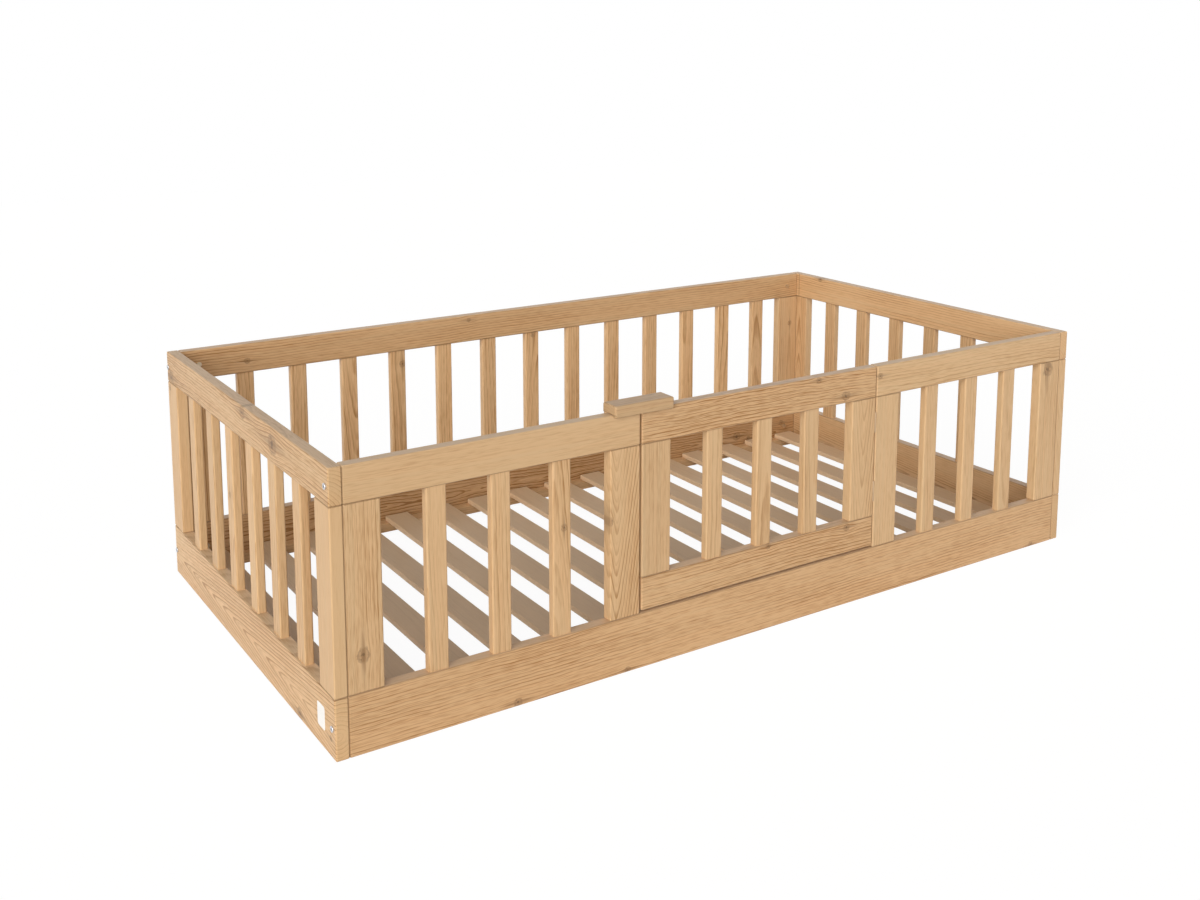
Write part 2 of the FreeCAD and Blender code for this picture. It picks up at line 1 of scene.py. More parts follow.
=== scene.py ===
# %% [markdown]
# # A toddler's floor bed in lacquered softwood
#
# The bed stands straight on the floor: four slatted panels round a low slatted base, a gate in the front
# and a sliding block on top that keeps it shut. Its shapes are plain boards, so nearly all of its looks
# come from the timber: growth rings, knots, a thin satin lacquer, and greyer bare wood on the slats.
# This lesson dresses the boards with solid textures, which run through the wood as real rings do.

import math

import bpy
import numpy as np
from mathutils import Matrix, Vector


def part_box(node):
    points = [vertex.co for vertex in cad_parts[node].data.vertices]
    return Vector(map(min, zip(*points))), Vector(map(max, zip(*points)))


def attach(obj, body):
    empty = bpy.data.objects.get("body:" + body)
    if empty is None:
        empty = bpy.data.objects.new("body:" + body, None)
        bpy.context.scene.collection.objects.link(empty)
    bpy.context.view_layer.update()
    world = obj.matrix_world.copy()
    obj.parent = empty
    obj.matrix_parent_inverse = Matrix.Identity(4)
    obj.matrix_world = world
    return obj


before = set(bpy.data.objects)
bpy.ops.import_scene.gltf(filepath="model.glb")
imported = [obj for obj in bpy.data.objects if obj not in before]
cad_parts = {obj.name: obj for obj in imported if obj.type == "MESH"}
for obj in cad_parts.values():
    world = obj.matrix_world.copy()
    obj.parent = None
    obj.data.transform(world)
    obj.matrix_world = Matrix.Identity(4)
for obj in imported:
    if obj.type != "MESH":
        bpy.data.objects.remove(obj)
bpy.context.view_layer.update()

# %% [markdown]
# ## The camera
#
# The bed is seen from its front left corner, from about standing height. A product photographer keeps
# upright edges nearly upright by shifting the lens instead of tilting the camera far down. The shift here
# takes up about half of the downward look, so that other views around the bed still hold all of it.

# %% Camera
CAMERA_PLACE = Vector((-1.504, -2.195, 1.084))
CAMERA_AZIMUTH = math.radians(-32.95)       # 0 looks along +Y
CAMERA_TILT = math.radians(8.54)            # down from level
CAMERA_LENS = 39.67                         # mm
CAMERA_SENSOR = 36.0                        # mm wide
CAMERA_SHIFT = -0.18

camera_data = bpy.data.cameras.new("camera")
camera_data.lens = CAMERA_LENS
camera_data.sensor_width = CAMERA_SENSOR
camera_data.shift_y = CAMERA_SHIFT
camera = bpy.data.objects.new("camera", camera_data)
bpy.context.scene.collection.objects.link(camera)
camera.location = CAMERA_PLACE
camera.rotation_euler = (math.pi / 2 - CAMERA_TILT, 0, CAMERA_AZIMUTH)
bpy.context.scene.camera = camera

# %% [markdown]
# ## Formulas as shader nodes
#
# A grain pattern is a formula, and a formula with thirty Math nodes is hard to read as links. Here a
# small class stands for an output socket: arithmetic on it adds the Math node, so that the code reads
# as the formula does. The nodes that it makes are ordinary ones.

# %% A socket that does arithmetic
def plug(tree, socket, value):
    """Link a value into a socket if it is a wire, and set it as a plain number otherwise."""
    if isinstance(value, Wire):
        tree.links.new(value.socket, socket)
    else:
        socket.default_value = value


class Wire:
    """An output socket of a node tree; each operation on it adds one node."""

    def __init__(self, tree, socket):
        self.tree, self.socket = tree, socket

    def math(self, operation, *others):
        made = self.tree.nodes.new("ShaderNodeMath")
        made.operation = operation
        for socket, value in zip(made.inputs, (self, *others)):
            plug(self.tree, socket, value)
        return Wire(self.tree, made.outputs[0])

    def __add__(self, other):
        return self.math("ADD", other)

    def __sub__(self, other):
        return self.math("SUBTRACT", other)

    def __mul__(self, other):
        return self.math("MULTIPLY", other)

    def __truediv__(self, other):
        return self.math("DIVIDE", other)

    def size(self):
        """This wire without its sign."""
        return self.math("ABSOLUTE")

    def most(self, *others):
        """The largest of this wire and others."""
        largest = self
        for other in others:
            largest = largest.math("MAXIMUM", other)
        return largest

    def share(self):
        """This wire held between 0 and 1."""
        return self.math("MAXIMUM", 0.0).math("MINIMUM", 1.0)

    def ramp(self, low, high, start=0.0, stop=1.0):
        """Rise smoothly from start to stop as this wire goes from low to high."""
        made = self.tree.nodes.new("ShaderNodeMapRange")
        made.interpolation_type = "SMOOTHSTEP"
        for name, value in (("Value", self), ("From Min", low), ("From Max", high),
                            ("To Min", start), ("To Max", stop)):
            plug(self.tree, made.inputs[name], value)
        return Wire(self.tree, made.outputs["Result"])

    def split(self):
        """The three parts of a vector or colour."""
        made = self.tree.nodes.new("ShaderNodeSeparateXYZ")
        plug(self.tree, made.inputs[0], self)
        return [Wire(self.tree, output) for output in made.outputs]


def vector(tree, x, y, z):
    """Three numbers or wires as one vector."""
    made = tree.nodes.new("ShaderNodeCombineXYZ")
    for socket, value in zip(made.inputs, (x, y, z)):
        plug(tree, socket, value)
    return Wire(tree, made.outputs[0])


def noise(tree, x, y, z, detail=2.0):
    """Smooth noise at a place, about one bump for each unit: its value and its colour."""
    made = tree.nodes.new("ShaderNodeTexNoise")
    plug(tree, made.inputs["Vector"], vector(tree, x, y, z))
    made.inputs["Scale"].default_value = 1.0
    made.inputs["Detail"].default_value = detail
    return Wire(tree, made.outputs["Fac"]), Wire(tree, made.outputs["Color"])


def dice(tree, number):
    """Three random numbers from 0 to 1 for each whole number."""
    made = tree.nodes.new("ShaderNodeTexWhiteNoise")
    made.noise_dimensions = "1D"
    plug(tree, made.inputs["W"], number)
    return Wire(tree, made.outputs["Color"]).split()


def blend(tree, share, first, second, mode="MIX"):
    """Two colours mixed by a share from 0 to 1."""
    made = tree.nodes.new("ShaderNodeMix")
    made.data_type, made.blend_type = "RGBA", mode
    plug(tree, made.inputs["Factor"], share)
    for name, value in (("A", first), ("B", second)):
        socket = next(s for s in made.inputs if s.name == name and s.type == "RGBA")
        plug(tree, socket, value if isinstance(value, Wire) else (*value, 1.0))
    return Wire(tree, next(s for s in made.outputs if s.type == "RGBA"))


# %% Node groups with named sockets
def new_group(name, inputs, outputs):
    """An empty shader group; returns its tree, its inputs as wires, and a function that sets outputs."""
    tree = bpy.data.node_groups.new(name, "ShaderNodeTree")
    for label, default in inputs.items():
        socket = tree.interface.new_socket(label, in_out="INPUT", socket_type="NodeSocketFloat")
        socket.default_value = default
    for label, kind in outputs.items():
        tree.interface.new_socket(label, in_out="OUTPUT", socket_type=f"NodeSocket{kind}")
    source = tree.nodes.new("NodeGroupInput")
    sink = tree.nodes.new("NodeGroupOutput")
    wires = {label: Wire(tree, source.outputs[label]) for label in inputs}

    def give(**values):
        for label, value in values.items():
            plug(tree, sink.inputs[label.replace("_", " ")], value)

    return tree, wires, give


def use_group(tree, group, **values):
    """Place a group in a tree; underscores in the keywords stand for spaces. Returns its outputs."""
    made = tree.nodes.new("ShaderNodeGroup")
    made.node_tree = group
    for label, value in values.items():
        plug(tree, made.inputs[label.replace("_", " ")], value)
    return {output.name: Wire(tree, output) for output in made.outputs}


# %% [markdown]
# ## Knots
#
# A knot is the root of a branch: a dark disc with rings of its own, and the trunk's grain parts round it
# like water round a post. It could be painted on as a dark spot, but then the grain would run straight
# through it. Here each knot also says how far the grain is pushed aside, and the rings are drawn
# after that push.

# %% One knot at a chosen place
KNOT_STRETCH = 1.25           # a knot is longer along the grain than across it
KNOT_LUMPS = 1.6              # bumps in its outline for each radius
KNOT_UNEVEN = 1.3             # how far the bumps reach, in radii
KNOT_PUSH = 0.6               # share of its own distance by which a fibre gives way
KNOT_OUTPUTS = {"Push": "Float", "Body": "Float", "Dark": "Float"}

knot_group, k, give = new_group(
    "knot",
    {"Along": 0, "Across": 0, "Centre Along": 0, "Centre Across": 0, "Radius": 0.005},
    KNOT_OUTPUTS,
)
knot_u = (k["Along"] - k["Centre Along"]) / (k["Radius"] * KNOT_STRETCH)
knot_v = (k["Across"] - k["Centre Across"]) / k["Radius"]
knot_wobble = noise(knot_group, knot_u * KNOT_LUMPS, knot_v * KNOT_LUMPS, k["Centre Along"] * 50.0)[0] - 0.5
knot_distance = (knot_u * knot_u + knot_v * knot_v).math("SQRT") + knot_wobble * KNOT_UNEVEN
knot_body = knot_distance.ramp(1.1, 0.7)
knot_rings = (knot_distance * 8.0 + knot_wobble * 12.0).math("SINE").ramp(0.2, 0.9) * knot_body
knot_outline = knot_distance.ramp(0.70, 0.95) * knot_distance.ramp(1.30, 1.05)
knot_heart = knot_distance.ramp(0.50, 0.12)
# the push falls off as exp(-d^2), more slowly along the grain than across it
knot_reach = (knot_u * knot_u * -0.10 + knot_v * knot_v * -0.30).math("EXPONENT")
# a dark tail runs both ways along the grain, where the fibres close up again
knot_tail = (knot_u * knot_u * -0.10 + knot_v * knot_v * -6.0).math("EXPONENT")
give(
    Push=(k["Across"] - k["Centre Across"]) * knot_reach * KNOT_PUSH,
    Body=knot_body,
    Dark=(knot_rings * 0.45).most(knot_outline * (knot_wobble * 1.5 + 0.5), knot_heart * 0.95,
                                  knot_tail * 0.55),
)

# %% Small knots scattered over a board
SCATTER_ALONG = 0.30          # one place for a knot in each such stretch of board
SCATTER_ACROSS = 0.06
SCATTER_APART = 5.0           # how far apart the patterns of two boards lie
SCATTER_LEAST = 0.002         # radius of the smallest knot
SCATTER_SPREAD = 0.004        # and what a large one has on top

scatter_group, k, give = new_group(
    "scattered knots", {"Along": 0, "Across": 0, "Number": 0, "Share": 0.3}, KNOT_OUTPUTS)
cells = scatter_group.nodes.new("ShaderNodeTexVoronoi")
cells.voronoi_dimensions = "3D"
cells.inputs["Scale"].default_value = 1.0
cells.inputs["Randomness"].default_value = 0.8
plug(scatter_group, cells.inputs["Vector"],
     vector(scatter_group, k["Along"] / SCATTER_ALONG, k["Across"] / SCATTER_ACROSS,
            k["Number"] * SCATTER_APART))
cell_along, cell_across, _ = Wire(scatter_group, cells.outputs["Position"]).split()
cell_chance, cell_size, _ = Wire(scatter_group, cells.outputs["Color"]).split()
cell_there = cell_chance.math("LESS_THAN", k["Share"])
one_knot = use_group(
    scatter_group, knot_group, Along=k["Along"], Across=k["Across"],
    Centre_Along=cell_along * SCATTER_ALONG, Centre_Across=cell_across * SCATTER_ACROSS,
    Radius=cell_size * SCATTER_SPREAD + SCATTER_LEAST,
)
give(**{label: one_knot[label] * cell_there for label in KNOT_OUTPUTS})

# %% [markdown]
# ## Noise drawn out along the grain
#
# Most of what one sees on a planed board is long and narrow. The same smooth noise gives all of it, with
# few turns in a metre of length and many in a metre of width. Each board gets its number's own stretch
# of one endless trunk, so that no two boards repeat each other.

# %% Turns of the noise in a metre, along the grain and across it
RIPPLES = (19.0, 70.0)
FIBRES = (40.0, 560.0)
STREAKS = (7.0, 420.0)
PATCHES = (3.0, 16.0)
MOTTLES = (22.0, 60.0)
TRUNK_STEP = 3.17             # metres of trunk from one board to the next


def place_in_trunk(wires):
    """How far up the endless trunk a point lies."""
    return wires["Along"] + wires["Number"] * TRUNK_STEP


def grain_noise(tree, trunk, wires, turns, detail=2.0):
    """Noise from -0.5 to 0.5 whose bumps are drawn out along the grain."""
    along, across = turns
    return noise(tree, trunk * along, wires["Across"] * across, wires["Through"] * across, detail)[0] - 0.5


# %% [markdown]
# ## Growth rings
#
# A trunk adds a pale and a dark layer each year, wrapped round its pith like tubes. A board is a slice
# through those tubes. Where the slice passes close to the pith its face shows arches, and where the
# tubes are cut square they show as straight lines. So one formula gives every board: the distance from
# the pith, in ring widths. The pith wanders along the trunk, which bends lines into arches.

# %% Rings round a wandering pith
DRIFT_TURNS = 1.7             # turns of the pith in a metre of trunk
DRIFT_APART = 9.7             # how far apart the drifts of two boards lie
RIPPLE_HEIGHT = 0.0026        # metres by which a year's layer is uneven
YEARS_APART = 31.0            # years from one board to the next

ring_group, k, give = new_group(
    "growth rings",
    {"Along": 0, "Across": 0, "Through": 0, "Number": 0, "Pith Across": 0, "Pith Depth": 0.05,
     "Taper": 0, "Ring Width": 0.003, "Wander": 0.01, "Ripple": 1.0},
    {"Late": "Float", "Year": "Float"},
)
trunk = place_in_trunk(k)
drift = noise(ring_group, trunk * DRIFT_TURNS, k["Number"] * DRIFT_APART, 0.3)[1].split()
from_pith_across = k["Across"] - k["Pith Across"] - (drift[0] - 0.5) * k["Wander"] * 2.0
from_pith_through = k["Through"] + k["Pith Depth"] + (drift[1] - 0.5) * k["Wander"] * 2.0
radius_squared = from_pith_across * from_pith_across + from_pith_through * from_pith_through
ripple = grain_noise(ring_group, trunk, k, RIPPLES)
radius = radius_squared.math("SQRT") + k["Taper"] * k["Along"] + ripple * k["Ripple"] * RIPPLE_HEIGHT
years = radius / k["Ring Width"]
in_year = years.math("FRACT")
in_half = (years * 2.0).math("FRACT")
year_dice = dice(ring_group, years.math("FLOOR") + k["Number"] * YEARS_APART)
# a thin dark line ends the year, and a fainter one often stands half way
year_line = in_year.ramp(0.55, 0.90) * in_year.ramp(1.0, 0.93) * (year_dice[0] * 0.6 + 0.4)
half_line = in_half.ramp(0.45, 0.85) * in_half.ramp(1.0, 0.90) * (year_dice[2] * 0.35 + 0.05)
give(Late=year_line.most(half_line) + in_year * 0.15, Year=year_dice[1])

# %% [markdown]
# ## Timber
#
# Over the rings come the fibres, fine streaks that are many times longer than wide, a slow drift of
# tone, and the darker, rougher look of end grain, which drinks the lacquer. All of that is one group. It
# mixes a pale wood and a red one, so that the whole bed is one kind of wood while each board is paler or
# redder than its neighbour.

# %% Wood colours
EARLY_PALE = (0.642, 0.434, 0.238)
EARLY_RED = (0.612, 0.369, 0.184)
LATE_PALE = (0.365, 0.192, 0.068)
LATE_RED = (0.310, 0.145, 0.045)
BARE_GREY = (0.560, 0.455, 0.345)
KNOT_BROWN = (0.330, 0.180, 0.078)
KNOT_DARK_AND_SEAM_SHADE = (0.120, 0.066, 0.030)

timber_group, k, give = new_group(
    "timber",
    {"Along": 0, "Across": 0, "Through": 0, "Number": 0, "Late": 0, "Year": 0, "Knot Body": 0,
     "Knot Dark": 0, "End": 0, "Contrast": 1.0, "Grain": 1.0, "Redness": 0.3, "Greyness": 0.0,
     "Brightness": 1.0, "Sheen": 0.40},
    {"Colour": "Color", "Roughness": "Float", "Height": "Float"},
)
trunk = place_in_trunk(k)
fibre = grain_noise(timber_group, trunk, k, FIBRES, detail=1.0)
streak = grain_noise(timber_group, trunk, k, STREAKS, detail=1.0)
patch = grain_noise(timber_group, trunk, k, PATCHES)
mottle = grain_noise(timber_group, trunk, k, MOTTLES)
dashes = (streak * 1.3 + fibre * 2.2 + 0.1) * (k["End"] * -0.7 + 1.0)
# the rings stand out strongly in some stretches of a board and hardly in others
figure = (patch * 3.0 + 1.0).most(0.1)
late_share = (k["Late"] * k["Contrast"] * figure * (k["End"] * -0.6 + 1.0) + dashes * k["Grain"] * 0.33
              + patch * 0.25 + mottle * 0.12).share()
red = (k["Redness"] + patch * 0.5 + (k["Year"] - 0.5) * 0.3).share()
early = blend(timber_group, red, EARLY_PALE, EARLY_RED)
late = blend(timber_group, red, LATE_PALE, LATE_RED)
grain = blend(timber_group, late_share, early, late)
tone = (((k["Year"] - 0.5) * 0.04 + patch * 0.08 + mottle * 0.06 + fibre * 0.06 * k["Grain"] + 1.0)
        * k["Brightness"] * (k["End"] * -0.05 + 1.0))
toned = blend(timber_group, 1.0, grain, vector(timber_group, tone, tone, tone), "MULTIPLY")
greyed = blend(timber_group, k["Greyness"], toned, BARE_GREY)
knotted = blend(timber_group, k["Knot Body"] * 0.45, greyed, KNOT_BROWN)
# knot darkness and the painted shade of the seams both pull the colour towards this dark brown
give(
    Colour=blend(timber_group, k["Knot Dark"] * 0.85, knotted, KNOT_DARK_AND_SEAM_SHADE),
    Roughness=k["Sheen"] + fibre * 0.14 + k["End"] * 0.15 + late_share * -0.05,
    Height=late_share * 0.6 + fibre * 0.5 + k["Knot Dark"] * -0.4,
)

# %% [markdown]
# ## One material for each board
#
# The pattern needs to know which way a board runs. The Object coordinates of a piece are the bed's own
# coordinates, so a board's own along, across and through are a choice of two axes and a centre. Spindles
# share one object in each row: dividing the distance along the row by the pitch gives each one its
# number, and with it its own stretch of trunk.

# %% Board space and material
AXES = {"X": 0, "Y": 1, "Z": 2}
SPINDLE_WIDTH = 0.035
SPINDLE_PITCH = 0.113
SPINDLE_PITH_SPREAD = 0.12          # how widely the piths lie across a row's spindles
SPINDLE_PITH_DEPTH = (0.015, 0.05)  # how far behind them at least, and how much more
SPINDLE_TAPERS = 0.10
SPINDLE_TONES = 0.10
OTHER_DICE = 500.0          # takes a second throw for the same spindle

# painted shade along the eased edges where two boards meet, darkest in the groove between them
SEAM_REACH = 0.0022         # how far from the touching plane the painted shade on an eased edge reaches
SEAM_CORE = 0.0008          # and where it is darkest
SEAM_PAINTED_SHADE = 0.50
SEAM_FACING = (0.15, 0.60)  # cosines to its axis between which a seam fades in
SIDE_FACING = (0.60, 0.95)  # the same for end grain and for a board's narrow faces
NARROW_CALM = 0.6           # share of the ring contrast that narrow faces lose
WOOD_SHINE = 0.33           # a thin satin lacquer throws back less than a thick one
WOOD_BUMP, WOOD_LIFT = 0.35, 0.0003
NO_EDGE = (0.0, 0.0)
RAIL_FACE_SHEEN = (0.25, 0.05)    # a painted sheen: a rail's top and bottom faces are painted greyer and a little paler
SLAT_SIDE_BOUNCE_LIGHT = (-0.05, 0.14)   # a slat's sawn edges are painted paler than its greyed top: painted light bounced up from the floor


def new_material(name, bump, lift, shine=0.5, metallic=0.0):
    """A Principled material, its tree, and a function that feeds its colour, roughness and height."""
    material = bpy.data.materials.new(name)
    material.use_nodes = True
    tree = material.node_tree
    surface = tree.nodes["Principled BSDF"]
    surface.inputs["Specular IOR Level"].default_value = shine
    surface.inputs["Metallic"].default_value = metallic

    def feed(colour, roughness, height):
        plug(tree, surface.inputs["Base Color"], colour)
        plug(tree, surface.inputs["Roughness"], roughness)
        bumps = tree.nodes.new("ShaderNodeBump")
        bumps.inputs["Strength"].default_value = bump
        bumps.inputs["Distance"].default_value = lift
        plug(tree, bumps.inputs["Height"], height)
        tree.links.new(bumps.outputs["Normal"], surface.inputs["Normal"])

    return material, tree, feed


def timber(name, node, along, across, pith=(0.0, 0.0), ring=0.0045, wander=0.012, taper=0.0,
           ripple=1.0, contrast=0.6, grain=1.0, redness=0.3, greyness=0.0, brightness=1.0, sheen=0.40,
           shine=WOOD_SHINE, edge=NO_EDGE, knots=(), scattered=0.0, shaded_seams=(), pitch=None, seed=0):
    """Wood that fits one CAD node: its grain runs along one axis and its wide face spans another.

    pith is how far the middle of the trunk lies from the board's middle, across it and behind it, and
    taper is how fast the rings narrow along it, which makes them point that way. knots are (along,
    across, radius) in the bed's own metres, and scattered is the share of places that hold a small
    one. The seam planes, as (axis, place, facing), are where the board meets another; painted shade
    darkens its eased edge there. edge is what its narrow faces add to the greyness and the brightness:
    a painted sheen on level boards and painted bounce light on slats. sheen is the roughness, and shine
    how much light the lacquer throws back. With a pitch, the node is a row of equal pieces, each with
    its own number and pith.
    """
    material, tree, feed = new_material(name, WOOD_BUMP, WOOD_LIFT, shine)
    low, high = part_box(node)
    centre = (low + high) / 2
    through = ({"X", "Y", "Z"} - {along, across}).pop()
    coordinates = tree.nodes.new("ShaderNodeTexCoord")
    place = Wire(tree, coordinates.outputs["Object"]).split()
    facing = Wire(tree, coordinates.outputs["Normal"]).split()
    raw_along, raw_across = place[AXES[along]], place[AXES[across]]
    local_along = raw_along - centre[AXES[along]]
    local_through = place[AXES[through]] - centre[AXES[through]]
    number = float(seed)
    if pitch:
        first = low[AXES[across]] + SPINDLE_WIDTH / 2
        place_in_row = ((raw_across - first) / pitch).math("ROUND")
        local_across = raw_across - first - place_in_row * pitch
        number = place_in_row + number
        chance, more = dice(tree, number), dice(tree, number + OTHER_DICE)
        least_depth, more_depth = SPINDLE_PITH_DEPTH
        pith = ((chance[0] - 0.5) * SPINDLE_PITH_SPREAD, chance[1] * more_depth + least_depth)
        taper = (more[0] - 0.5) * SPINDLE_TAPERS
        brightness = (chance[2] - 0.5) * SPINDLE_TONES + brightness
    else:
        local_across = raw_across - centre[AXES[across]]
    marks = [use_group(tree, knot_group, Along=raw_along, Across=raw_across, Centre_Along=a,
                       Centre_Across=b, Radius=r) for a, b, r in knots]
    if scattered:
        marks.append(use_group(tree, scatter_group, Along=raw_along, Across=raw_across,
                               Number=float(seed), Share=scattered))
    body, knot_dark_and_seam_shade, pushed = 0.0, 0.0, local_across
    for mark in marks:
        pushed = pushed - mark["Push"]
        body = mark["Body"].most(body)
        knot_dark_and_seam_shade = mark["Dark"].most(knot_dark_and_seam_shade)
    rings = use_group(tree, ring_group, Along=local_along, Across=pushed, Through=local_through,
                      Number=number, Pith_Across=pith[0], Pith_Depth=pith[1], Taper=taper,
                      Ring_Width=ring, Wander=wander, Ripple=ripple)
    # painted shade: the eased edges next to each seam plane are darkened as the groove's shade would darken
    # them
    for axis, plane, looks in shaded_seams:
        near = (place[AXES[axis]] - plane).size().ramp(SEAM_REACH, SEAM_CORE)
        knot_dark_and_seam_shade = (near * facing[AXES[looks]].size().ramp(*SEAM_FACING) * SEAM_PAINTED_SHADE).most(knot_dark_and_seam_shade)
    end, narrow = (facing[AXES[axis]].size().ramp(*SIDE_FACING) for axis in (along, across))
    if edge != NO_EDGE:
        greyness = narrow * edge[0] + greyness
        brightness = (narrow * edge[1] + 1.0) * brightness
    wood = use_group(tree, timber_group, Along=local_along, Across=pushed,
                     Through=local_through, Number=number, Late=rings["Late"], Year=rings["Year"],
                     Knot_Body=body, Knot_Dark=knot_dark_and_seam_shade, End=end,
                     Contrast=(narrow * -NARROW_CALM + 1.0) * contrast, Grain=grain, Redness=redness,
                     Greyness=greyness, Brightness=brightness, Sheen=sheen)
    feed(wood["Colour"], wood["Roughness"], wood["Height"])
    return material


def dress(node, material):
    """Give a CAD node's object one material."""
    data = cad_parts[node].data
    data.materials.clear()
    data.materials.append(material)


# %% [markdown]
# ## The boards
#
# Every board is described by how it was sawn and where its knots are. The front ones follow the real
# bed's figure: a plain pale rail on the left, a livelier gate rail, a long redder bottom board.

# %% Which way the boards run, and where they meet
RAIL = dict(along="X", across="Z")
STILE = dict(along="Z", across="X")
END_RAIL = dict(along="Y", across="Z")
END_STILE = dict(along="Z", across="Y")
SPINDLES = dict(STILE, pitch=SPINDLE_PITCH)
END_SPINDLES = dict(END_STILE, pitch=SPINDLE_PITCH)

# planes where boards meet; painted shade darkens the eased edges along them
LEFT_CORNER, RIGHT_CORNER = ("X", -0.808, "Y"), ("X", 0.808, "Y")
BOARD_TOP, RAIL_FOOT = ("Z", 0.100, "Y"), ("Z", 0.401, "Y")
END_BOARD_TOP, END_RAIL_FOOT = ("Z", 0.100, "X"), ("Z", 0.401, "X")
GATE_FOOT, GATE_RAIL_TOP = ("Z", 0.104, "Y"), ("Z", 0.164, "Y")
BACK_SHADOW_LINE = ("Y", 0.4035, "X")                # a painted shadow line just in front of the inner back corner
LATCH_LINE = ("Z", 0.4615, "X")               # the shadow under the sliding block's end
STILE_SEAMS = [BOARD_TOP, RAIL_FOOT]
GATE_STILE_SEAMS = [GATE_RAIL_TOP, RAIL_FOOT]
END_STILE_SEAMS = [END_BOARD_TOP, END_RAIL_FOOT, BOARD_TOP, RAIL_FOOT]

# %% Front panel and gate
FRONT_BOARDS = {
    "front_bottom_board": dict(
        RAIL, seed=1, pith=(-0.085, 0.020), ring=0.0058, wander=0.014, ripple=2.0,
        contrast=0.65, grain=1.9, redness=0.65,
        knots=[(-0.516, 0.007, 0.006), (-0.300, 0.004, 0.005), (0.743, 0.004, 0.005)],
        shaded_seams=[LEFT_CORNER, RIGHT_CORNER, BOARD_TOP]),
    "front_left_top_rail": dict(
        RAIL, seed=2, pith=(0.055, 0.050), ring=0.0056,
        contrast=0.12, grain=1.2, redness=0.25, brightness=0.96, shaded_seams=[LEFT_CORNER, RAIL_FOOT]),
    "front_left_corner_stile": dict(
        STILE, seed=3, pith=(-0.060, 0.010), ring=0.0062, wander=0.006,
        contrast=0.50, grain=2.0, redness=0.25, brightness=0.99,
        knots=[(0.160, -0.782, 0.009)], shaded_seams=[LEFT_CORNER, *STILE_SEAMS]),
    "front_left_gate_stile": dict(
        STILE, seed=4, pith=(-0.018, 0.005), ring=0.0060, wander=0.003, taper=-0.16,
        contrast=1.00, grain=1.2, redness=0.32, brightness=1.02,
        knots=[(0.277, -0.337, 0.006)], shaded_seams=STILE_SEAMS),
    "front_left_spindles": dict(
        SPINDLES, seed=20, ring=0.0054, contrast=0.45, grain=1.2, redness=0.30,
        knots=[(0.285, -0.425, 0.005)]),
    "gate_top_rail": dict(
        RAIL, seed=5, pith=(-0.075, 0.015), ring=0.0058, wander=0.022, taper=0.045, ripple=3.0,
        contrast=0.95, grain=2.4, redness=0.60, brightness=0.99,
        knots=[(0.124, 0.455, 0.005), (0.193, 0.415, 0.008)], shaded_seams=[RAIL_FOOT]),
    "gate_bottom_rail": dict(
        RAIL, seed=6, pith=(-0.055, 0.020), ring=0.0060, wander=0.022, ripple=2.0,
        contrast=0.85, grain=2.2, redness=0.55,
        knots=[(0.204, 0.155, 0.006), (0.010, 0.160, 0.005)], shaded_seams=[GATE_FOOT, GATE_RAIL_TOP]),
    "gate_latch_stile": dict(
        STILE, seed=7, pith=(-0.06, 0.05), ring=0.0062,
        contrast=0.28, grain=1.6, redness=0.25, brightness=0.93, shaded_seams=GATE_STILE_SEAMS),
    "gate_hinge_stile": dict(
        STILE, seed=8, pith=(0.0, 0.018), ring=0.0062, wander=0.006, taper=-0.10,
        contrast=0.65, grain=1.2, redness=0.28, shaded_seams=GATE_STILE_SEAMS),
    "gate_spindles": dict(
        SPINDLES, seed=30, ring=0.0060, contrast=0.45, grain=1.1, redness=0.27,
        knots=[(0.341, 0.087, 0.005)]),
    "front_right_top_rail": dict(
        RAIL, seed=9, pith=(-0.040, 0.030), ring=0.0056, wander=0.016, taper=0.02, ripple=1.8,
        contrast=0.45, grain=1.5, redness=0.18, brightness=0.99,
        knots=[(0.281, 0.441, 0.005)], shaded_seams=[RIGHT_CORNER, RAIL_FOOT]),
    "front_right_gate_stile": dict(
        STILE, seed=10, pith=(0.07, 0.04), ring=0.0062,
        contrast=0.25, grain=1.7, redness=0.17, brightness=0.98, shaded_seams=STILE_SEAMS),
    "front_right_corner_stile": dict(
        STILE, seed=11, pith=(-0.05, 0.02), ring=0.0062,
        contrast=0.40, grain=1.5, redness=0.20, brightness=0.99,
        knots=[(0.386, 0.771, 0.012)], shaded_seams=[RIGHT_CORNER, *STILE_SEAMS]),
    "front_right_spindles": dict(
        SPINDLES, seed=40, ring=0.0060, contrast=0.30, grain=1.4, redness=0.18),
}

